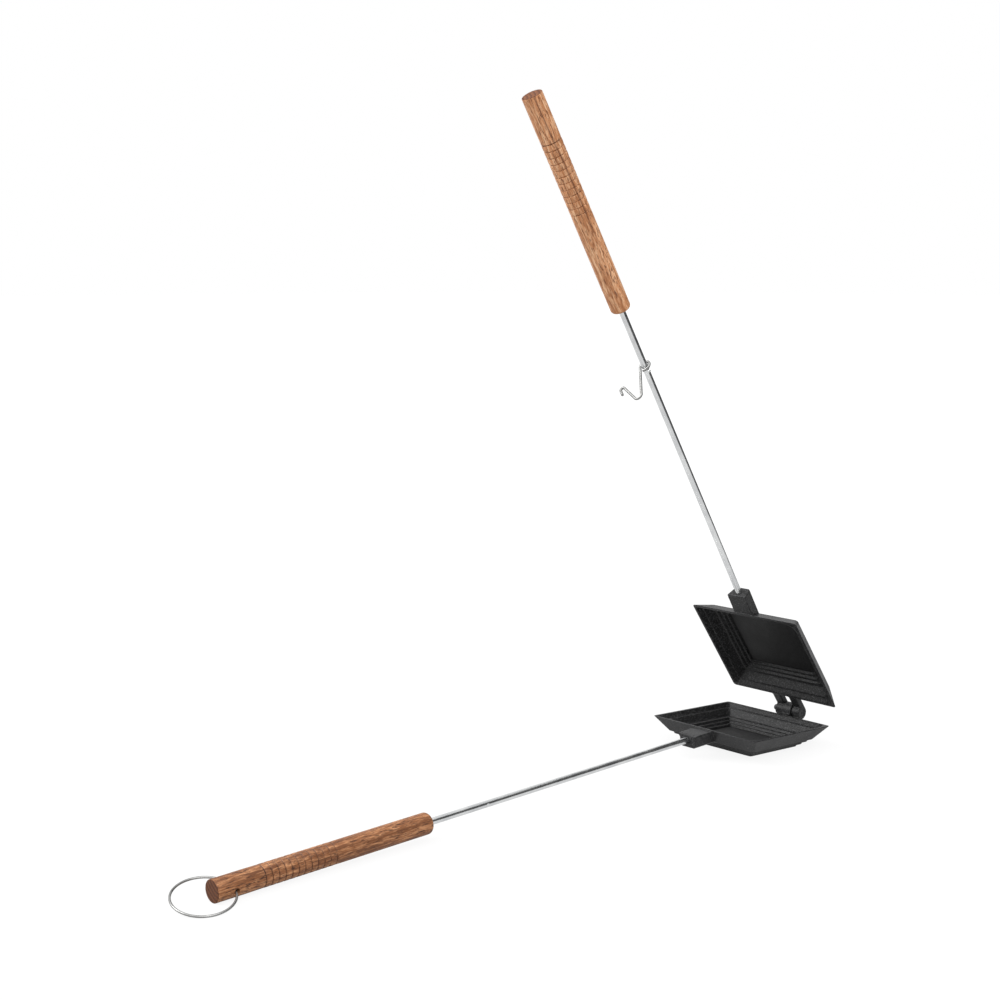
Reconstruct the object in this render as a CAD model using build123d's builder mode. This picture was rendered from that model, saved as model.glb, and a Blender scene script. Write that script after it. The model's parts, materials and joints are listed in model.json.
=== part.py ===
from build123d import *

import os
from math import acos, asin, atan2, cos, degrees, radians, sin, sqrt

# A camp pie iron: two cast iron pans hinged on one side, each carried on a steel rod with
# a turned wooden handle. A wire hook swings on the upper rod and a ring hangs in the lower
# handle. The model is in millimetres with +Z up. It stands open on the floor: the lower
# pan rests on the hinge-side edge of its base, and the lower handle on its outer end.
# The handles point along -X, the hinge lies along Y, and the near side is -Y.

# How far the two rim planes stand apart, in degrees
open_angle = 50.8

# Pan rim
pan_length = 118.0
pan_width = 130.0
rim_clearance = 0.3
rim_width = 3.6
rim_bevel = 0.7

# Plan corners: the cavity is rounder along the near side of the iron
outer_corner = 3.0
inner_corner = 2.5
near_handle_corner = 12.0
near_hinge_corner = 8.0

# Outside of a pan: a slope to the shoulder, then steps to the base
shoulder_inset = 11.5
shoulder_depth = 14.5
step_count = 3
outer_tread = 2.7
outer_riser = 2.67
outer_draft = 0.97

# Cavity of a pan: a short lip, a slope, then steps to the floor
lip_inset = 6.9
lip_depth = 4.6
lip_ledge = 0.9
slope_inset = 13.8
slope_depth = 11.8
inner_tread = 2.9
inner_riser = 2.4
inner_draft = 0.6

# Hinge
hinge_reach = 21.0
leaf_width = 9.25
leaf_thickness = 6.0
leaf_radius = 6.75
leaf_root = 7.0
knuckle_width = 10.6
knuckle_radius = 8.4
knuckle_side_gap = 0.2
pin_diameter = 6.0
pin_running_clearance = 0.05
pin_recess = 0.6
pin_dimple_diameter = 3.0
pin_dimple_depth = 0.6
pin_tail = 5.5
pin_tail_round = 2.2

# Rod, its socket block on the pan, and the pinched ears that stop the hook
rod_diameter = 6.0
rod_depth = 7.0
rod_splay = 4.3
rod_seat = 17.0
rod_edge = 0.4
socket_length = 21.5
socket_inner_width = 22.5
socket_outer_width = 17.5
socket_height = 13.0
socket_drop = 1.0
socket_root = 13.5
socket_long_chamfer = 1.5
socket_end_chamfer = 0.8
pinch_place = 283.0
pinch_length = 4.0
pinch_reach = 0.8
pinch_thickness = 2.4

# Handle
handle_place = 347.8
handle_length = 210.5
handle_diameter = 18.5
handle_shoulder = 3.5
handle_edge = 0.8
handle_bore_depth = 72.0
handle_bore_spare = 2.0
groove_count = 12
groove_pitch = 6.1
groove_inset = 43.0
groove_width = 1.4
groove_depth = 0.8

# Hanging ring
ring_radius = 24.6
ring_wire = 2.0
ring_hole_diameter = 4.6
ring_hole_inset = 16.5
ring_hole_roll = 13.0

# Latch hook, with its angles in degrees
hook_wire = 2.6
eye_radius = 4.85
eye_end_gap = 0.4
eye_pinch_gap = 0.2
hook_tip_back = 22.0
shank_lean = 31.2
shank_length = 31.5
hook_bend_radius = 3.6
hook_bend_turn = 149.0
hook_tail_length = 21.0
hook_curl_radius = 2.1
hook_curl_turn = 165.0
hook_curl_length = 6.0

# Places that follow from the sizes above. A half of the iron is drawn from the hinge axis
# in its own frame: X towards the handle, Z outward from the parting plane.
pan_middle = hinge_reach + pan_length / 2
pan_end = hinge_reach + pan_length
rim_plane = rim_clearance / 2
base_inset = shoulder_inset + step_count * (outer_tread + outer_draft)
base_depth = shoulder_depth + step_count * outer_riser
leaf_start = knuckle_width / 2 + knuckle_side_gap
hinge_half_width = leaf_start + leaf_width
rod_start = socket_length - rod_seat
rod_end = handle_place + handle_bore_depth - handle_bore_spare
hook_place = (
    pinch_place
    + pinch_length / 2
    + eye_radius * sin(radians(hook_tip_back))
    + hook_wire / 2
    + eye_pinch_gap
)


def standing_tilt():
    """Angle that sets both the base's hinge-side edge and the handle's end on the floor."""
    splay = radians(rod_splay)
    foot = handle_place + handle_length - handle_edge
    foot_x = pan_end + foot * cos(splay) - handle_diameter / 2 * sin(splay)
    foot_z = rod_depth + foot * sin(splay) + handle_diameter / 2 * cos(splay)
    heel_x = hinge_reach + base_inset
    return degrees(atan2(foot_z - base_depth, foot_x - heel_x))


def rim_frame(rise, outward):
    """Frame of one half about the hinge: rise of its rim in degrees, outward +1 up, -1 down."""
    angle = radians(rise)
    across = Vector(-cos(angle), 0, sin(angle))
    normal = Vector(sin(angle), 0, cos(angle)) * outward
    return Plane(origin=(0, 0, 0), x_dir=across, z_dir=normal)


def rod_frame(rim):
    """Frame of a rod: Z along the rod from the pan's rim, Y outward from the parting plane."""
    splay = radians(rod_splay)
    start = rim.from_local_coords((pan_end, 0, rod_depth))
    along = rim.x_dir * cos(splay) + rim.z_dir * sin(splay)
    return Plane(origin=start, x_dir=rim.y_dir, z_dir=along)


lower_tilt = standing_tilt()
lower_rim = rim_frame(lower_tilt, -1)
upper_rim = rim_frame(lower_tilt + open_angle, 1)
lower_rod_frame = rod_frame(lower_rim)
upper_rod_frame = rod_frame(upper_rim)
lower_handle_frame = lower_rod_frame.offset(handle_place)
upper_handle_frame = upper_rod_frame.offset(handle_place)
heel = lower_rim.from_local_coords((hinge_reach + base_inset, 0, base_depth))
floor_height = heel.Z


# Pans


def outer_outline(inset, depth):
    """Plan outline of a pan's outside at one depth."""
    with BuildSketch(Plane.XY.offset(depth)) as outline:
        with Locations((pan_middle, 0)):
            RectangleRounded(pan_length - 2 * inset, pan_width - 2 * inset, outer_corner)
    return outline.sketch


def cavity_outline(inset, depth, near):
    """Plan outline of the cavity; near is +1 or -1, the near side of the iron in local Y."""
    hinge_x = hinge_reach + inset
    handle_x = pan_end - inset
    side_y = near * (pan_width / 2 - inset)
    corners = [(hinge_x, -side_y), (handle_x, -side_y), (handle_x, side_y), (hinge_x, side_y)]
    rounding = [inner_corner, inner_corner, near_handle_corner, near_hinge_corner]
    with BuildSketch(Plane.XY.offset(depth)) as outline:
        with BuildLine():
            FilletPolyline(*corners, radius=rounding, close=True)
        make_face()
    return outline.sketch


def outer_steps():
    """Inset and depth at the top and the foot of each step down to the base."""
    steps = []
    for step in range(step_count):
        top_inset = shoulder_inset + outer_tread + step * (outer_tread + outer_draft)
        top_depth = shoulder_depth + step * outer_riser
        steps.append((top_inset, top_depth, top_inset + outer_draft, top_depth + outer_riser))
    return steps


def cavity_steps():
    """Inset and depth at the top and the foot of each step down to the floor."""
    steps = []
    for step in range(step_count):
        top_inset = slope_inset + inner_tread + step * (inner_tread + inner_draft)
        top_depth = slope_depth + step * inner_riser
        steps.append((top_inset, top_depth, top_inset + inner_draft, top_depth + inner_riser))
    return steps


def cavity_layers():
    """Every layer of the cavity, as top inset, top depth, foot inset and foot depth."""
    mouth = rim_width - rim_bevel
    lip_foot = lip_inset + lip_ledge
    bevel = (mouth, rim_plane, rim_width, rim_plane + rim_bevel)
    lip = (rim_width, rim_plane + rim_bevel, lip_inset, lip_depth)
    slope = (lip_foot, lip_depth, slope_inset, slope_depth)
    return [bevel, lip, slope] + cavity_steps()


def hinge_leaf(start, radius):
    """Side profile of a hinge leaf, drawn on the plane at Y = start."""
    with BuildSketch(Plane.XZ.offset(-start)) as leaf:
        Circle(radius)
        with Locations((0, radius)):
            arm = hinge_reach + leaf_root
            Rectangle(arm, leaf_thickness, align=(Align.MIN, Align.MAX))
    return leaf.sketch


def make_pan(near, leaves, radius, bore_diameter):
    """A pan with its socket block and hinge leaves, each leaf a start in Y and a width."""
    inner_x = socket_inner_width / 2
    outer_x = socket_outer_width / 2
    inner_y = socket_drop - socket_height / 2
    outer_y = socket_drop + socket_height / 2
    section = [(-inner_x, inner_y), (inner_x, inner_y), (outer_x, outer_y), (-outer_x, outer_y)]
    splay = radians(rod_splay)
    along = Vector(cos(splay), 0, sin(splay))
    socket = Plane(origin=(pan_end, 0, rod_depth), x_dir=(0, 1, 0), z_dir=along)

    with BuildPart() as pan:
        rim = outer_outline(0, rim_plane)
        shoulder = outer_outline(shoulder_inset, shoulder_depth)
        loft([rim, shoulder], ruled=True)
        for top_inset, top_depth, foot_inset, foot_depth in outer_steps():
            top = outer_outline(top_inset, top_depth)
            foot = outer_outline(foot_inset, foot_depth)
            loft([top, foot], ruled=True)

        # Socket block, widest at the parting side, and the leaves of the hinge
        with BuildSketch(socket.offset(-socket_root)) as block:
            Polygon(*section, align=None)
            chamfer(block.vertices().group_by(Axis.Y)[-1], socket_long_chamfer)
        extrude(amount=socket_root + socket_length)
        chamfer(pan.faces().sort_by(Axis.X)[-1].edges(), socket_end_chamfer)
        for start, width in leaves:
            extrude(hinge_leaf(start, radius), amount=-width)

        # Cavity
        for top_inset, top_depth, foot_inset, foot_depth in cavity_layers():
            top = cavity_outline(top_inset, top_depth, near)
            foot = cavity_outline(foot_inset, foot_depth, near)
            loft([top, foot], ruled=True, mode=Mode.SUBTRACT)

        # Bores for the rod and the pin
        with BuildSketch(socket.offset(rod_start)):
            Circle(rod_diameter / 2)
        extrude(amount=rod_seat, mode=Mode.SUBTRACT)
        with BuildSketch(Plane.XZ):
            Circle(bore_diameter / 2)
        extrude(amount=hinge_half_width, both=True, mode=Mode.SUBTRACT)
    return pan


# Rods and handles


def make_rod():
    """A rod along Z from the rim, with the two pinched ears that stop the hook."""
    with BuildPart() as rod:
        with BuildSketch(Plane.XY.offset(rod_start)):
            Circle(rod_diameter / 2)
        extrude(amount=rod_end - rod_start)
        chamfer(rod.edges().filter_by(GeomType.CIRCLE), rod_edge)
        with BuildSketch(Plane.XZ):
            with Locations((0, pinch_place)):
                Ellipse(rod_diameter / 2 + pinch_reach, pinch_length / 2)
        extrude(amount=pinch_thickness / 2, both=True)
    return rod


def make_handle(has_ring_hole):
    """A turned handle along Z from its inner end, grooved towards its outer end."""
    radius = handle_diameter / 2
    first_groove = handle_length - groove_inset
    grooves = [(radius, first_groove - index * groove_pitch) for index in range(groove_count)]

    with BuildPart() as handle:
        with BuildSketch(Plane.XY):
            Circle(radius)
        extrude(amount=handle_length)
        ends = handle.edges().filter_by(GeomType.CIRCLE).sort_by(Axis.Z)
        fillet(ends[0], handle_shoulder)
        fillet(ends[-1], handle_edge)

        with BuildSketch(Plane.XZ):
            with Locations(*grooves):
                notch = [
                    (-groove_depth, 0),
                    (0, -groove_width / 2),
                    (groove_depth, 0),
                    (0, groove_width / 2),
                ]
                Polygon(*notch, align=None)
        revolve(axis=Axis.Z, mode=Mode.SUBTRACT)

        with BuildSketch(Plane.XY):
            Circle(rod_diameter / 2)
        extrude(amount=handle_bore_depth, mode=Mode.SUBTRACT)

        if has_ring_hole:
            with BuildSketch(ring_hole_plane(Plane.XY)):
                Circle(ring_hole_diameter / 2)
            extrude(amount=handle_diameter, both=True, mode=Mode.SUBTRACT)
    return handle


# Ring


def ring_hole_plane(handle):
    """Plane at the middle of the ring's cross hole, with Z along the hole."""
    roll = radians(ring_hole_roll)
    centre = handle.from_local_coords((0, 0, handle_length - ring_hole_inset))
    through = handle.x_dir * cos(roll) - handle.y_dir * sin(roll)
    return Plane(origin=centre, x_dir=handle.z_dir, z_dir=through)


def ring_plane(hole):
    """Plane of the ring when it hangs out of the handle and touches the floor.

    The ring's wire bows inside the straight hole, so its middle sits off the hole's axis by
    half of the bow. The ring's lowest point is on the floor when its centre has dropped by
    drop, the smaller root of a quadratic, in a plane square to the hole.
    """
    bow = ring_radius - sqrt(ring_radius**2 - (handle_diameter / 2) ** 2)
    arm = ring_radius - bow / 2
    height = hole.origin.Z - floor_height - ring_wire / 2
    square = ring_radius**2 - arm**2
    level = (ring_radius * hole.z_dir.Z) ** 2 - height**2
    drop = (arm * height - sqrt((arm * height) ** 2 - square * level)) / square
    outward = Vector(0, 0, 1).cross(hole.z_dir).normalized()
    upward = hole.z_dir.cross(outward)
    sag = asin(drop / upward.Z)
    towards = outward * cos(sag) + upward * sin(sag)
    centre = hole.origin + towards * arm
    return Plane(origin=centre, x_dir=towards, z_dir=towards.cross(hole.z_dir))


def make_ring(plane):
    """The closed wire ring in the given plane."""
    with BuildPart(plane) as ring:
        Torus(ring_radius, ring_wire / 2)
    return ring


# Latch hook


def hook_plane(rod):
    """Plane of the bent hook on the rod: X along world Y, Y up the steepest way."""
    steepness = lower_tilt + open_angle + rod_splay - hook_tip_back
    angle = radians(steepness)
    centre = rod.from_local_coords((0, 0, hook_place))
    return Plane(origin=centre, x_dir=(0, 1, 0), z_dir=(cos(angle), 0, -sin(angle)))


def make_hook(plane):
    """Wire hook: an eye round the rod, a shank, the bend, and a tail with a curled tip."""
    eye_opening = degrees(acos(1 - (hook_wire + eye_end_gap) / eye_radius))
    eye_turn = 360 - eye_opening
    with BuildPart() as hook:
        with BuildLine(plane) as wire:
            eye = CenterArc((0, 0), eye_radius, eye_turn - shank_lean, -eye_turn)
            shank = PolarLine(eye @ 1, shank_length, direction=eye % 1)
            bend = JernArc(shank @ 1, shank % 1, hook_bend_radius, hook_bend_turn)
            tail = PolarLine(bend @ 1, hook_tail_length, direction=bend % 1)
            curl = JernArc(tail @ 1, tail % 1, hook_curl_radius, -hook_curl_turn)
            PolarLine(curl @ 1, hook_curl_length, direction=curl % 1)
        with BuildSketch(Plane(origin=eye @ 0, z_dir=eye % 0)):
            Circle(hook_wire / 2)
        sweep(path=wire.line)
    return hook


# Hinge pin


def make_pin():
    """Hinge pin along Y: dimpled and sunk in the near leaf, with a domed tail at the far one."""
    near_end = Plane.XZ.offset(hinge_half_width - pin_recess)
    with BuildPart() as pin:
        with BuildSketch(near_end):
            Circle(pin_diameter / 2)
        extrude(amount=-(2 * hinge_half_width - pin_recess + pin_tail))
        tail_end = pin.edges().filter_by(GeomType.CIRCLE).sort_by(Axis.Y)[-1]
        fillet(tail_end, pin_tail_round)
        with BuildSketch(near_end):
            Circle(pin_dimple_diameter / 2)
        extrude(amount=-pin_dimple_depth, taper=45, mode=Mode.SUBTRACT)
    return pin


# The pieces, each placed about the hinge axis

lower_leaves = [(-knuckle_width / 2, knuckle_width)]
upper_leaves = [(leaf_start, leaf_width), (-hinge_half_width, leaf_width)]

running_bore = pin_diameter + 2 * pin_running_clearance
lower_pan = make_pan(-1, lower_leaves, knuckle_radius, running_bore)
lower_pan.part.location = lower_rim.location
lower_pan.part.label = "lower_pan"

upper_pan = make_pan(1, upper_leaves, leaf_radius, pin_diameter)
upper_pan.part.location = upper_rim.location
upper_pan.part.label = "upper_pan"

lower_rod = make_rod()
lower_rod.part.location = lower_rod_frame.location
lower_rod.part.label = "lower_rod"

upper_rod = make_rod()
upper_rod.part.location = upper_rod_frame.location
upper_rod.part.label = "upper_rod"

lower_handle = make_handle(has_ring_hole=True)
lower_handle.part.location = lower_handle_frame.location
lower_handle.part.label = "lower_handle"

upper_handle = make_handle(has_ring_hole=False)
upper_handle.part.location = upper_handle_frame.location
upper_handle.part.label = "upper_handle"

ring_hole = ring_hole_plane(lower_handle_frame)
hang_ring = make_ring(ring_plane(ring_hole))
hang_ring.part.label = "hang_ring"

latch_hook = make_hook(hook_plane(upper_rod_frame))
latch_hook.part.label = "latch_hook"

hinge_pin = make_pin()
hinge_pin.part.label = "hinge_pin"

# The origin moves to the middle of the model's footprint box, on the floor
pieces = [
    lower_pan,
    upper_pan,
    lower_rod,
    upper_rod,
    lower_handle,
    upper_handle,
    hang_ring,
    latch_hook,
    hinge_pin,
]
box = Compound([piece.part for piece in pieces]).bounding_box()
to_origin = Location((-box.center().X, -box.center().Y, -floor_height))

os.makedirs("parts", exist_ok=True)
for piece in pieces:
    piece.part.location = to_origin * piece.part.location
    export_step(piece.part, "parts/" + piece.part.label + ".step")
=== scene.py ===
import json
from math import cos, pi, radians, sin, sqrt

import bmesh
import bpy
from mathutils import Matrix, Vector


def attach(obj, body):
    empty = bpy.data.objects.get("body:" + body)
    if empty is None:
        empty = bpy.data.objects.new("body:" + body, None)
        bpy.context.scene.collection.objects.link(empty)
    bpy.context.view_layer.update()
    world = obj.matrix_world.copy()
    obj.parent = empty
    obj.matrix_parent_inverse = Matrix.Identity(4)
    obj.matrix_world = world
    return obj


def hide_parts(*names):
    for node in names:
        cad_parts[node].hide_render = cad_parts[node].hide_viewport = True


# Looks of a camp pie iron: cast pans, plated rods, turned handles, ring and latch hook.
# Metres, in the CAD frame. The hinge lies along Y, and the handles point along -X.

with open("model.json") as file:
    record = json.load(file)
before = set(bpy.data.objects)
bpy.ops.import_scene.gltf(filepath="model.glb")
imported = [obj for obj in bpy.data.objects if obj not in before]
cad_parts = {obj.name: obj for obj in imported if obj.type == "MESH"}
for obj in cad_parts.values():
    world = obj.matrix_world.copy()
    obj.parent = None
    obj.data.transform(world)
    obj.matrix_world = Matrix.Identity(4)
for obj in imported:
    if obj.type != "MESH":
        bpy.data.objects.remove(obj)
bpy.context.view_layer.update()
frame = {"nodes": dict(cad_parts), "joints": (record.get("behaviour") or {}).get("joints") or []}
print("frame loaded")


# Shader maths

class Wire:
    # a shader socket that takes part in Python arithmetic

    def __init__(self, paint, socket):
        self.paint = paint
        self.socket = socket

    def __add__(self, other):
        return self.paint.maths("ADD", self, other)

    __radd__ = __add__

    def __sub__(self, other):
        return self.paint.maths("SUBTRACT", self, other)

    def __rsub__(self, other):
        return self.paint.maths("SUBTRACT", other, self)

    def __mul__(self, other):
        return self.paint.maths("MULTIPLY", self, other)

    __rmul__ = __mul__


class Paint:
    # the nodes of one material, or of the world

    def __init__(self, owner, output="ShaderNodeOutputMaterial"):
        self.owner = owner
        self.owner.use_nodes = True
        self.tree = owner.node_tree
        self.tree.nodes.clear()
        self.output = output

    def node(self, kind, settings=None, values=None, output=0):
        made = self.tree.nodes.new(kind)
        for name, value in (settings or {}).items():
            setattr(made, name, value)
        for name, value in (values or {}).items():
            if isinstance(value, Wire):
                self.tree.links.new(value.socket, made.inputs[name])
            else:
                made.inputs[name].default_value = value
        return Wire(self, made.outputs[output])

    def maths(self, operation, first, second=None):
        values = {0: first} if second is None else {0: first, 1: second}
        return self.node("ShaderNodeMath", {"operation": operation}, values)

    def vector(self, operation, first, second=None, output="Vector"):
        values = {0: first} if second is None else {0: first, 1: second}
        return self.node("ShaderNodeVectorMath", {"operation": operation}, values, output)

    def remap(self, value, low, high, toLow=0.0, toHigh=1.0):
        return self.node("ShaderNodeMapRange", {"clamp": True}, {
            "Value": value, "From Min": low, "From Max": high,
            "To Min": toLow, "To Max": toHigh})

    def noise(self, place, scale, detail=2.0, roughness=0.5, distortion=0.0):
        return self.node("ShaderNodeTexNoise", None, {
            "Vector": place, "Scale": scale, "Detail": detail,
            "Roughness": roughness, "Distortion": distortion})

    def stretched(self, place, scale, *noise):
        # noise that is drawn out along the handle
        return self.noise(self.vector("MULTIPLY", place, scale), 1.0, *noise)

    def blend(self, factor, first, second):
        # colours are mixed here, since a Math node would turn them grey
        return self.node("ShaderNodeMix", {"data_type": "RGBA"},
                         {0: factor, 6: first, 7: second}, 2)

    def bump(self, height, distance, strength, under=None):
        values = {"Height": height, "Distance": distance, "Strength": strength}
        if under:
            values["Normal"] = under
        return self.node("ShaderNodeBump", None, values)

    def place(self):
        return self.node("ShaderNodeTexCoord", output="Object")

    def stored(self, name, output="Fac"):
        return self.node("ShaderNodeAttribute", {"attribute_name": name}, output=output)

    def finish(self, values):
        return self.show(self.node("ShaderNodeBsdfPrincipled", None, values))

    def show(self, shader):
        output = self.tree.nodes.new(self.output)
        self.tree.links.new(shader.socket, output.inputs["Surface"])
        return self.owner


def newPaint(name):
    return Paint(bpy.data.materials.new(name))


def rgb(red, green, blue):
    return (red, green, blue, 1.0)


# Materials

ironLook = {
    "dark": rgb(0.008, 0.008, 0.0085),
    "light": rgb(0.017, 0.017, 0.0175),
    # partly painted light: light specks of the grain, which also stand for glints of light on it
    "speckAndGlint": rgb(0.092, 0.092, 0.095),
    # painted shade: the colour that the cavity's inside is darkened towards
    "cavityShade": rgb(0.0045, 0.0045, 0.0045),
    "grainScale": 700.0,
    "fineScale": 1900.0,
    "pitScale": 330.0,
    "blotchScale": 45.0,
    "tone": (0.38, 0.64),
    "speck": (0.50, 0.65, 0.0, 0.80),
    "rough": (0.35, 0.65, 0.38, 0.54),
    "cavityShadeShare": 0.7,        # painted shade: how much darker the cavity's inside is painted
    "floorShade": 0.85,            # painted shade: how much of the light specks the cavity's floor loses
    "grainDepth": 0.00020,
    "grainBump": 0.9,
    "pitDepth": 0.00025,
    "pitBump": 0.5,
    "gloss": 0.24,
}


def castIron():
    look = ironLook
    paint = newPaint("cast iron with painted cavity shade")
    where = paint.place()
    grain = paint.noise(where, look["grainScale"], 3.0, 0.6)
    fine = paint.noise(where, look["fineScale"], 2.0, 0.5)
    pits = paint.noise(where, look["pitScale"], 4.0, 0.55)
    blotch = paint.noise(where, look["blotchScale"], 3.0, 0.55)
    inside = paint.stored("cavity")
    shadedFloor = paint.stored("floor")

    tone = paint.remap(blotch * 0.55 + pits * 0.45, *look["tone"])
    body = paint.blend(tone, look["dark"], look["light"])
    # painted shade: the cavity's inside is painted darker, for the shade in the hollow
    body = paint.blend(inside * look["cavityShadeShare"], body, look["cavityShade"])
    speck = paint.remap(grain * 0.65 + fine * 0.35, *look["speck"])
    # painted shade: the cavity's floor loses most of the light specks, so it is painted darker
    colour = paint.blend(speck * (1 - look["floorShade"] * shadedFloor), body, look["speckAndGlint"])
    rough = paint.remap(blotch * 0.5 + grain * 0.5, *look["rough"])
    lumps = paint.bump(pits, look["pitDepth"], look["pitBump"])
    normal = paint.bump(grain * 0.7 + fine * 0.3, look["grainDepth"], look["grainBump"], lumps)
    return paint.finish({"Base Color": colour, "Roughness": rough, "Normal": normal,
                         "Specular IOR Level": look["gloss"]})


rodPlate = {
    "bright": rgb(0.77, 0.78, 0.78),
    "dull": rgb(0.62, 0.63, 0.64),
    "rough": (0.15, 0.25),
    "cloudScale": 60.0,
    "fineScale": 1400.0,
    "fineDepth": 0.000010,
    "fineBump": 0.05,
}
wirePlate = {
    "bright": rgb(0.35, 0.35, 0.345),
    "dull": rgb(0.25, 0.25, 0.245),
    "rough": (0.30, 0.42),
    "cloudScale": 120.0,
    "fineScale": 1400.0,
    "fineDepth": 0.000010,
    "fineBump": 0.05,
}


def platedSteel(name, look):
    paint = newPaint(name)
    where = paint.place()
    cloud = paint.noise(where, look["cloudScale"], 3.0, 0.5)
    fine = paint.noise(where, look["fineScale"], 2.0, 0.5)
    colour = paint.blend(paint.remap(cloud, 0.35, 0.65), look["dull"], look["bright"])
    rough = paint.remap(cloud * 0.7 + fine * 0.3, 0.3, 0.7, *look["rough"])
    normal = paint.bump(fine, look["fineDepth"], look["fineBump"])
    return paint.finish({"Base Color": colour, "Roughness": rough, "Metallic": 1.0,
                         "Normal": normal})


pinLook = {
    "dark": rgb(0.03, 0.03, 0.032),
    "light": rgb(0.07, 0.07, 0.073),
    "rough": (0.38, 0.55),
    "mottleScale": 500.0,
    "mottleDepth": 0.00010,
    "mottleBump": 0.5,
    "metallic": 0.7,
}


def darkSteel():
    look = pinLook
    paint = newPaint("dark steel")
    mottle = paint.noise(paint.place(), look["mottleScale"], 3.0, 0.55)
    colour = paint.blend(paint.remap(mottle, 0.35, 0.65), look["dark"], look["light"])
    rough = paint.remap(mottle, 0.3, 0.7, *look["rough"])
    normal = paint.bump(mottle, look["mottleDepth"], look["mottleBump"])
    return paint.finish({"Base Color": colour, "Roughness": rough,
                         "Metallic": look["metallic"], "Normal": normal})


turning = {
    "length": 0.2105,
    "radius": 0.00925,
    "shoulder": 0.0035,      # rounding at the rod's end
    "edge": 0.0008,          # rounding at the outer end
    "ease": 0.0003,          # chamfer at the bore's mouth
    "grooves": 12,
    "pitch": 0.0061,
    "inset": 0.043,          # the outer end to the first groove
    "width": 0.0013,
    "depth": 0.0008,
    "lip": 0.0002,
    "cut": ((-1.0, 0.15), (-0.3, 0.8), (0.0, 1.0), (0.3, 0.8), (1.0, 0.15)),
    "crown": 0.00012,
    "bore": 0.0030,
    "boreDepth": 0.010,
    "sides": 96,
    "sharpAngle": radians(38),
    "holeInset": 0.0165,
    "holeRadius": 0.0023,
    "holeReach": 0.03,
    "holeSides": 40,
    "holeRoll": radians(13.0),
}

lowerWood = {
    "name": "stained hardwood",
    "dark": rgb(0.150, 0.053, 0.019),
    "middle": rgb(0.320, 0.125, 0.047),
    "light": rgb(0.600, 0.295, 0.140),
    "pore": rgb(0.045, 0.016, 0.008),
    "burn": rgb(0.035, 0.013, 0.008),
    "end": (rgb(0.130, 0.046, 0.018), rgb(0.045, 0.014, 0.007)),
    "groove": (1.0, 0.85, 0.55),
    "offset": (0.0, 0.0, 0.0),
}
# painted light: the same wood as the lower handle, painted lighter for the light that falls on
# the upper handle
upperWood = {
    "name": "stained hardwood with painted light",
    "dark": rgb(0.400, 0.155, 0.058),
    "middle": rgb(0.650, 0.290, 0.130),
    "light": rgb(0.900, 0.560, 0.330),
    "pore": rgb(0.150, 0.052, 0.022),
    "burn": rgb(0.140, 0.052, 0.024),
    "end": (rgb(0.205, 0.076, 0.030), rgb(0.075, 0.024, 0.011)),
    "groove": (1.0, 0.40, 0.25),
    "offset": (0.31, 0.17, 0.53),
    "streak": {"normal": (0.565, 0.825, 0.0), "lean": -0.022, "drift": 0.0022,
               "core": 0.0001, "width": 0.0011, "fade": (0.055, 0.095)},
}
woodGrain = {
    "pores": (1050.0, 1050.0, 150.0),
    "flecks": (760.0, 760.0, 110.0),
    "figure": (300.0, 300.0, 26.0),
    "bands": (100.0, 100.0, 8.0),
    "heart": (0.012, 0.016, 0.0),      # the year rings' middle, beside the handle
    "ringScale": 90.0,
    "dotScale": 1600.0,
    "rough": (0.42, 0.62),
    "endRough": 0.25,
    "depth": 0.00025,
    "bump": 0.6,
    "gloss": 0.35,
}


def heartLine(paint, streak, own, bands, flecks):
    # one dark line of heartwood runs down from the outer end
    across = paint.vector("DOT_PRODUCT", own, streak["normal"], "Value")
    along = paint.node("ShaderNodeSeparateXYZ", None, {0: own}, "Z")
    path = streak["lean"] * (along - turning["length"]) - streak["drift"] * (bands - 0.5)
    line = 1 - paint.remap(paint.maths("ABSOLUTE", across - path),
                           streak["core"], streak["width"])
    return line * paint.remap(along, *streak["fade"]) * paint.remap(flecks, 0.3, 0.6, 1.0, 0.65)


def endGrain(paint, look, own):
    # end grain is darker, because it drinks more stain, and shows its year rings
    light, dark = look["end"]
    rings = paint.node("ShaderNodeTexWave", {"wave_type": "RINGS", "rings_direction": "Z"}, {
        "Vector": paint.vector("ADD", own, woodGrain["heart"]),
        "Scale": woodGrain["ringScale"], "Distortion": 1.2, "Detail": 3.0,
        "Detail Scale": 2.0})
    dots = paint.remap(paint.noise(own, woodGrain["dotScale"], 2.0, 0.6), 0.5, 0.62, 0.0, 0.5)
    colour = paint.blend(paint.remap(rings, 0.35, 0.95) * 0.75, light, dark)
    return paint.blend(dots, colour, dark)


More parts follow.
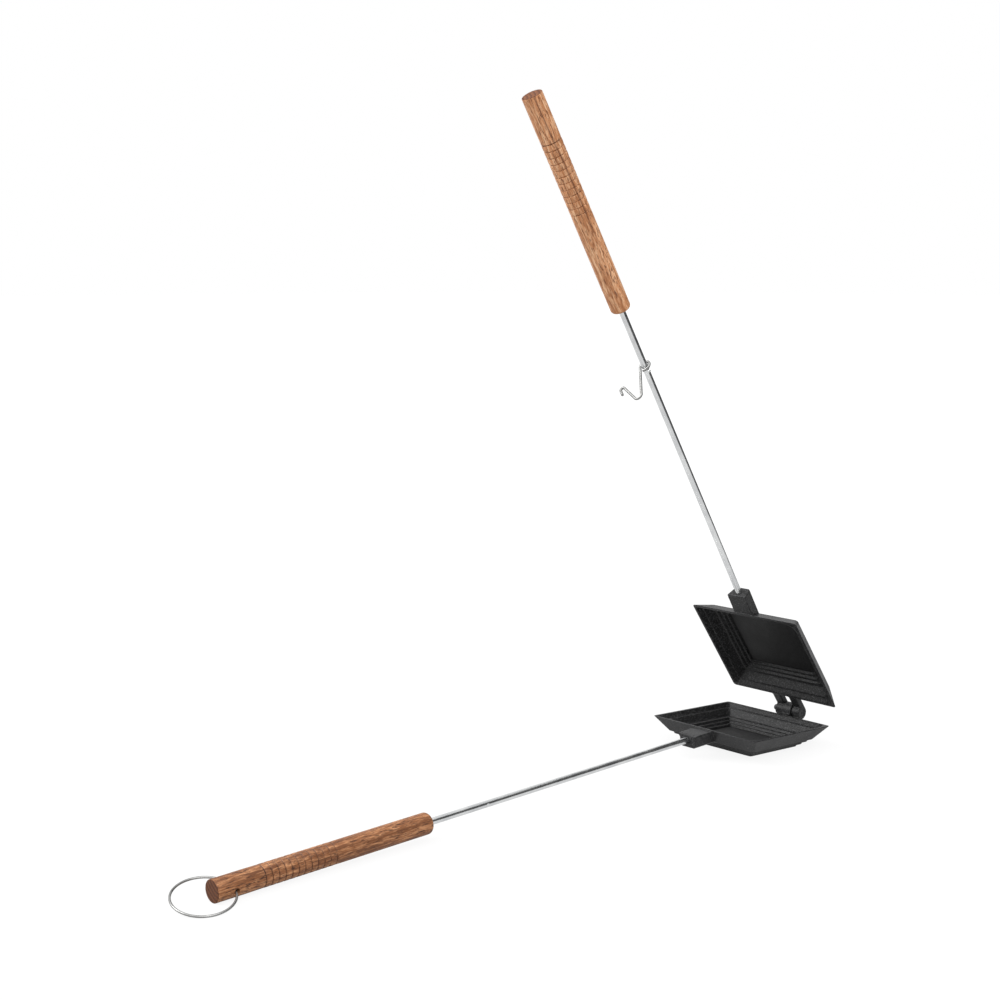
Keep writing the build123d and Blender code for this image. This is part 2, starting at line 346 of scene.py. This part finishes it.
def hardwood(look):
    # "grain" holds each point in the handle's own frame, with Z along the handle
    wood = woodGrain
    paint = newPaint(look["name"])
    own = paint.stored("grain", "Vector")
    where = paint.vector("ADD", own, look["offset"])
    pores = paint.stretched(where, wood["pores"], 2.0, 0.6)
    flecks = paint.stretched(where, wood["flecks"], 3.0, 0.6)
    figure = paint.stretched(where, wood["figure"], 4.0, 0.6, 0.8)
    bands = paint.stretched(where, wood["bands"], 3.0, 0.55, 0.5)

    tone = paint.remap(figure * 0.55 + bands * 0.45, 0.38, 0.62)
    body = paint.blend(tone, look["dark"], look["middle"])
    pale = paint.remap(flecks * 0.55 + figure * 0.45, 0.47, 0.64)
    body = paint.blend(pale * 0.85, body, look["light"])
    dashes = paint.remap(pores, 0.545, 0.64) * paint.remap(bands, 0.35, 0.6, 0.5, 1.0)
    body = paint.blend(dashes, body, look["pore"])
    if "streak" in look:
        line = heartLine(paint, look["streak"], own, bands, flecks)
        body = paint.blend(line, body, look["pore"])

    # the turned grooves are burnt dark, unevenly
    uneven = paint.remap(figure * 0.5 + flecks * 0.5, 0.38, 0.6, 1.0, 0.65)
    body = paint.blend(paint.stored("groove") * uneven, body, look["burn"])

    ends = paint.stored("endGrain")
    colour = paint.blend(ends, body, endGrain(paint, look, own))
    rough = paint.remap(flecks, 0.3, 0.7, *wood["rough"]) + ends * wood["endRough"]
    normal = paint.bump(0.5 * flecks - 0.8 * dashes, wood["depth"], wood["bump"])
    return paint.finish({"Base Color": colour, "Roughness": rough, "Normal": normal,
                         "Specular IOR Level": wood["gloss"]})


# The frame's own places

joints = {joint["name"]: joint for joint in frame["joints"]}
hinge = Vector(joints["pan_hinge"]["pos_m"])

half = {
    "lowerTilt": radians(3.124),
    "openAngle": radians(50.8),
    "splay": radians(4.3),
    "rodStart": 0.139,       # hinge axis to the rim's handle side
    "rodDepth": 0.007,
    "handlePlace": 0.3478,   # along the rod, from the rim
}


def rimFrame(rise, outward):
    # X along the hinge, Y outward from the parting plane, Z towards the handle
    across = Vector((-cos(rise), 0, sin(rise)))
    normal = Vector((sin(rise), 0, cos(rise))) * outward
    axes = Matrix((normal.cross(across), normal, across)).transposed()
    return Matrix.Translation(hinge) @ axes.to_4x4()


def rodFrame(rim):
    # the rod leans outward from the rim, and Z runs along it
    start = Matrix.Translation((0, half["rodDepth"], half["rodStart"]))
    return rim @ start @ Matrix.Rotation(-half["splay"], 4, "X")


lowerRim = rimFrame(half["lowerTilt"], -1)
upperRim = rimFrame(half["lowerTilt"] + half["openAngle"], 1)
lowerRod = rodFrame(lowerRim)
upperRod = rodFrame(upperRim)


def dress(node, material):
    # a CAD node whose shape is right keeps it, under its own material
    piece = frame["nodes"][node]
    piece.data.materials.clear()
    piece.data.materials.append(material)


def newObject(name, mesh):
    item = bpy.data.objects.new(name, mesh)
    bpy.context.scene.collection.objects.link(item)
    return item


def newPiece(name, mesh, body, material, node):
    # a finer piece that stands for the CAD node
    for face in mesh.polygons:
        face.use_smooth = True
    piece = newObject(name, mesh)
    mesh.materials.clear()
    mesh.materials.append(material)
    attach(piece, body)
    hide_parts(node)


def modified(block):
    # the block's mesh with its modifiers applied
    graph = bpy.context.evaluated_depsgraph_get()
    return bpy.data.meshes.new_from_object(block.evaluated_get(graph))


# Pans: the casting's edges are eased, and its corners are filled a little

casting = {
    "voxel": 0.00048,
    "smoothing": 0.5,
    "passes": 3,
    "keep": 0.30,
    "wall": {"halfWidth": 0.065, "hingeSide": 0.021, "handleSide": 0.139,
             # shadedFloor: the depth past which the cavity's floor gets painted shade
             "start": 0.002, "slope": 0.93, "floor": 0.0207, "shadedFloor": 0.0182},
}


def markCavity(mesh):
    # 1 on the cooking side: farther in from the edge than the middle of the wall
    # these masks place painted shade: the cavity's inside, and its floor
    for name in ("cavity", "floor"):
        mesh.attributes.new(name, "FLOAT", "POINT")
    cavity, floor = mesh.attributes["cavity"], mesh.attributes["floor"]
    wall = casting["wall"]
    for vertex in mesh.vertices:
        place = vertex.co
        fromSides = wall["halfWidth"] - abs(place.x)
        fromEnds = min(place.z - wall["hingeSide"], wall["handleSide"] - place.z)
        reach = wall["start"] + wall["slope"] * place.y
        inner = min(fromSides, fromEnds) > reach and place.y < wall["floor"]
        cavity.data[vertex.index].value = 1.0 if inner else 0.0
        floor.data[vertex.index].value = 1.0 if inner and place.y > wall["shadedFloor"] else 0.0


def castPiece(node, rim, body, material):
    # the skin is made square to the rim, so that flat faces stay flat
    mesh = frame["nodes"][node].data.copy()
    mesh.transform(rim.inverted())
    block = newObject("block", mesh)
    skin = block.modifiers.new("skin", "REMESH")
    skin.mode = "VOXEL"
    skin.voxel_size = casting["voxel"] * 1
    ease = block.modifiers.new("ease", "SMOOTH")
    ease.factor = casting["smoothing"]
    ease.iterations = casting["passes"]
    thin = block.modifiers.new("thin", "DECIMATE")
    thin.ratio = casting["keep"]
    cast = modified(block)
    bpy.data.objects.remove(block)
    markCavity(cast)
    cast.transform(rim)
    newPiece(node + "_casting", cast, body, material, node)
    print(node, "cast with", len(cast.polygons), "faces")


iron = castIron()
castPiece("lower_pan", lowerRim, "lower_half", iron)
castPiece("upper_pan", upperRim, "upper_half", iron)


# Handles

def arcPoints(centreRadius, centrePlace, radius, start, stop, count):
    points = []
    for index in range(count + 1):
        angle = start + (stop - start) * index / count
        points.append((centreRadius + radius * cos(angle), centrePlace + radius * sin(angle)))
    return points


def groovePoints(groove, place):
    # the crown before the groove, then the groove itself between its two lips
    t = turning
    halfWidth = t["width"] / 2
    points = []
    if groove:
        middle = place - t["pitch"] / 2
        for share in (-0.6, 0.0, 0.6):
            points.append((t["radius"] - t["crown"] * share * share,
                           middle + share * t["pitch"] / 2))
    points.append((t["radius"] - t["crown"], place - halfWidth - t["lip"]))
    for side, cut in t["cut"]:
        points.append((t["radius"] - cut * t["depth"], place + side * halfWidth))
    points.append((t["radius"] - t["crown"], place + halfWidth + t["lip"]))
    return points


def handleProfile():
    # radius and place along the handle, from the bore's floor round to the outer end
    t = turning
    radius, length, bore = t["radius"], t["length"], t["bore"]
    last = length - t["inset"]
    first = last - (t["grooves"] - 1) * t["pitch"]
    profile = [(0.0, t["boreDepth"]), (bore, t["boreDepth"]), (bore, t["ease"]),
               (bore + t["ease"], 0.0)]
    profile += arcPoints(radius - t["shoulder"], t["shoulder"], t["shoulder"], -pi / 2, 0, 8)
    plainEnd = first - t["pitch"]
    for step in range(1, 12):
        profile.append((radius, t["shoulder"] + (plainEnd - t["shoulder"]) * step / 11))
    for groove in range(t["grooves"]):
        profile += groovePoints(groove, first + groove * t["pitch"])
    tailStart, tailEnd = last + 0.003, length - t["edge"]
    for step in range(1, 5):
        profile.append((radius, tailStart + (tailEnd - tailStart) * step / 4))
    profile += arcPoints(radius - t["edge"], length - t["edge"], t["edge"], 0, pi / 2, 4)[1:]
    profile += [(radius * share, length) for share in (0.6, 0.3, 0.0)]
    return profile


def turnedMesh(name, profile, sides):
    work = bmesh.new()
    rings = []
    for radius, place in profile:
        if radius < 1e-7:
            rings.append([work.verts.new((0, 0, place))])
            continue
        ring = []
        for side in range(sides):
            angle = 2 * pi * side / sides
            ring.append(work.verts.new((radius * cos(angle), radius * sin(angle), place)))
        rings.append(ring)
    for lower, upper in zip(rings, rings[1:]):
        for side in range(sides):
            after = (side + 1) % sides
            if len(lower) == 1:
                work.faces.new((lower[0], upper[after], upper[side]))
            elif len(upper) == 1:
                work.faces.new((lower[side], lower[after], upper[0]))
            else:
                work.faces.new((lower[side], lower[after], upper[after], upper[side]))
    bmesh.ops.recalc_face_normals(work, faces=work.faces)
    mesh = bpy.data.meshes.new(name)
    work.to_mesh(mesh)
    work.free()
    return mesh


def ringHole():
    # the hole's frame in the handle, with Z along the hole
    roll = turning["holeRoll"]
    through = Vector((cos(roll), -sin(roll), 0))
    up = Vector((0, 0, 1))
    axes = Matrix((up, through.cross(up), through)).transposed().to_4x4()
    return Matrix.Translation((0, 0, turning["length"] - turning["holeInset"])) @ axes


def boredThrough(mesh, hole):
    # cuts a straight round hole along the hole matrix's Z
    radius, reach = turning["holeRadius"], turning["holeReach"]
    drillMesh = turnedMesh("drill", [(0, -reach), (radius, -reach), (radius, reach), (0, reach)],
                           turning["holeSides"])
    drillMesh.transform(hole)
    block = newObject("block", mesh)
    drill = newObject("drill", drillMesh)
    cut = block.modifiers.new("bore", "BOOLEAN")
    cut.operation = "DIFFERENCE"
    cut.solver = "EXACT"
    cut.object = drill
    bored = modified(block)
    for item in (block, drill):
        bpy.data.objects.remove(item)
    return bored


def grooveShare(place, look):
    # how burnt the place is: strongest in the first groove, fading along the others
    row = (turning["length"] - turning["inset"] - place) / turning["pitch"]
    nearest = min(max(round(row), 0), turning["grooves"] - 1)
    share = 1 - abs(row - nearest) * turning["pitch"] / (0.5 * turning["width"])
    first, second, last = look["groove"]
    burnt = first if nearest == 0 else second + (last - second) * nearest / turning["grooves"]
    return min(1.0, 1.6 * max(0.0, share)) * burnt


def storeGrain(mesh, look):
    # where each point lies in the handle, and where it is end grain or a groove
    kinds = {"grain": "FLOAT_VECTOR", "endGrain": "FLOAT", "groove": "FLOAT"}
    for name, kind in kinds.items():
        mesh.attributes.new(name, kind, "POINT")
    grain, ends, groove = (mesh.attributes[name] for name in kinds)
    margin = turning["ease"]
    for vertex in mesh.vertices:
        place = vertex.co
        grain.data[vertex.index].vector = place
        groove.data[vertex.index].value = grooveShare(place.z, look)
        reach = sqrt(place.x ** 2 + place.y ** 2)
        atEnd = place.z > turning["length"] - margin or place.z < margin
        ends.data[vertex.index].value = 1.0 if atEnd and reach < turning["radius"] else 0.0


def makeHandle(name, rod, body, look, drilled):
    mesh = turnedMesh(name, handleProfile(), turning["sides"])
    if drilled:
        mesh = boredThrough(mesh, ringHole())
    storeGrain(mesh, look)
    mesh.transform(rod @ Matrix.Translation((0, 0, half["handlePlace"])))
    newPiece(name + "_turned", mesh, body, hardwood(look), name)
    mesh.set_sharp_from_angle(angle=turning["sharpAngle"])


makeHandle("lower_handle", lowerRod, "lower_half", lowerWood, True)
makeHandle("upper_handle", upperRod, "upper_half", upperWood, False)
print("handles turned")


# Metal pieces

rodSteel = platedSteel("bright plated steel", rodPlate)
for node in ("lower_rod", "upper_rod"):
    dress(node, rodSteel)
wireSteel = platedSteel("plated wire", wirePlate)
for node in ("latch_hook", "hang_ring"):
    dress(node, wireSteel)
dress("hinge_pin", darkSteel())
print("metal dressed")


# Floor, light and camera

stageSet = {
    "floorSize": 60.0,
    "floorDrop": 0.0001,
    "floorWhite": 0.50,
    "glow": 0.80,            # how much of the floor's shown white is its own, near the object
    "glowFade": (0.7, 1.8),
    "glowStrength": 1.12,
    "mirrored": 0.50,
    "worldStrength": 0.50,
    "worldMirrored": 0.9,
    "flagGrey": 0.10,
}


def shownShare(paint, mirrored):
    # the share of plain white: all of it where a ray comes from the eye or through glass,
    # and less in a polished surface
    seen, glossy, clear = (paint.node("ShaderNodeLightPath", output="Is " + kind + " Ray")
                           for kind in ("Camera", "Glossy", "Transmission"))
    return paint.maths("MAXIMUM", paint.maths("MAXIMUM", seen, glossy * mirrored), clear)


def floorPaint():
    # the floor shows white, fading from its lit colour near the object to plain white afar
    paint = newPaint("white floor")
    reach = paint.vector("LENGTH", paint.place(), output="Value")
    far = paint.remap(reach, *stageSet["glowFade"], stageSet["glow"], 1.0)
    share = shownShare(paint, stageSet["mirrored"]) * far
    white = stageSet["floorWhite"]
    matte = paint.node("ShaderNodeBsdfDiffuse", None, {"Color": rgb(white, white, white)})
    glow = paint.node("ShaderNodeEmission", None, {
        "Color": rgb(1, 1, 1), "Strength": stageSet["glowStrength"]})
    return paint.show(paint.node("ShaderNodeMixShader", None, {0: share, 1: matte, 2: glow}))


def flagPaint():
    paint = newPaint("studio black")
    grey = stageSet["flagGrey"]
    return paint.show(paint.node("ShaderNodeEmission", None, {
        "Color": rgb(grey, grey, grey), "Strength": 1.0}))


def flatPanel(name, corners, material):
    mesh = bpy.data.meshes.new(name)
    mesh.from_pydata(corners, [], [(0, 1, 2, 3)])
    mesh.materials.append(material)
    panel = newObject(name, mesh)
    return panel


def makeFloor():
    reach = stageSet["floorSize"] / 2
    corners = [(-reach, -reach, 0), (reach, -reach, 0), (reach, reach, 0), (-reach, reach, 0)]
    floor = flatPanel("floor", corners, floorPaint())
    floor.location.z = -stageSet["floorDrop"]


# black panels at the right and front right, which only the shiny pieces see
flags = {
    "right": {"ends": ((3.0, -3.4), (3.0, 1.0)), "low": 0.05, "high": 3.6},
    "front": {"ends": ((0.00, -0.85), (1.60, -0.60)), "low": 0.01, "high": 1.3},
}


def makeFlags():
    black = flagPaint()
    for name, look in flags.items():
        (startX, startY), (endX, endY) = look["ends"]
        low, high = look["low"], look["high"]
        corners = [(startX, startY, low), (endX, endY, low),
                   (endX, endY, high), (startX, startY, high)]
        panel = flatPanel(name + "_flag", corners, black)
        panel.visible_camera = False
        panel.visible_diffuse = False
        panel.visible_transmission = False
        panel.visible_shadow = False


def makeWorld():
    paint = Paint(bpy.data.worlds.new("studio"), "ShaderNodeOutputWorld")
    white = rgb(1, 1, 1)
    share = shownShare(paint, stageSet["worldMirrored"])
    lit = paint.node("ShaderNodeBackground", None, {
        "Color": white, "Strength": stageSet["worldStrength"]})
    seen = paint.node("ShaderNodeBackground", None, {"Color": white, "Strength": 1.0})
    mixed = paint.node("ShaderNodeMixShader", None, {0: share, 1: lit, 2: seen})
    bpy.context.scene.world = paint.show(mixed)


lamps = {
    "key": {"towards": (0.60, -0.50, -0.62), "spread": radians(35), "power": 2.0},
    "front": {"towards": (0.20, 0.70, -0.68), "spread": radians(50), "power": 1.0},
    "top": {"towards": (0.25, 0.20, -0.95), "spread": radians(70), "power": 1.4},
}


def makeLamps():
    for name, look in lamps.items():
        light = bpy.data.lights.new(name, "SUN")
        light.angle = look["spread"]
        light.energy = look["power"]
        lamp = newObject(name, light)
        lamp.rotation_mode = "QUATERNION"
        lamp.rotation_quaternion = Vector(look["towards"]).to_track_quat("-Z", "Y")
        lamp.location = -2 * Vector(look["towards"])


photo = {
    "lens": 59.28,
    "sensor": 36.0,
    "place": (-1.3349, -1.0078, 0.4443),   # from the hinge axis
    "azimuth": radians(-42.67),
    "elevation": radians(7.83),
    "near": 0.01,
    "far": 50.0,
}


def makeCamera():
    data = bpy.data.cameras.new("photo")
    data.lens = photo["lens"]
    data.sensor_width = photo["sensor"]
    data.clip_start = photo["near"]
    data.clip_end = photo["far"]
    camera = newObject("photo", data)
    camera.location = hinge + Vector(photo["place"])
    camera.rotation_euler = (pi / 2 - photo["elevation"], 0, photo["azimuth"])
    bpy.context.scene.camera = camera


makeFloor()
makeFlags()
makeWorld()
makeLamps()
makeCamera()
bpy.context.scene.view_settings.view_transform = "Standard"
print("stage set")
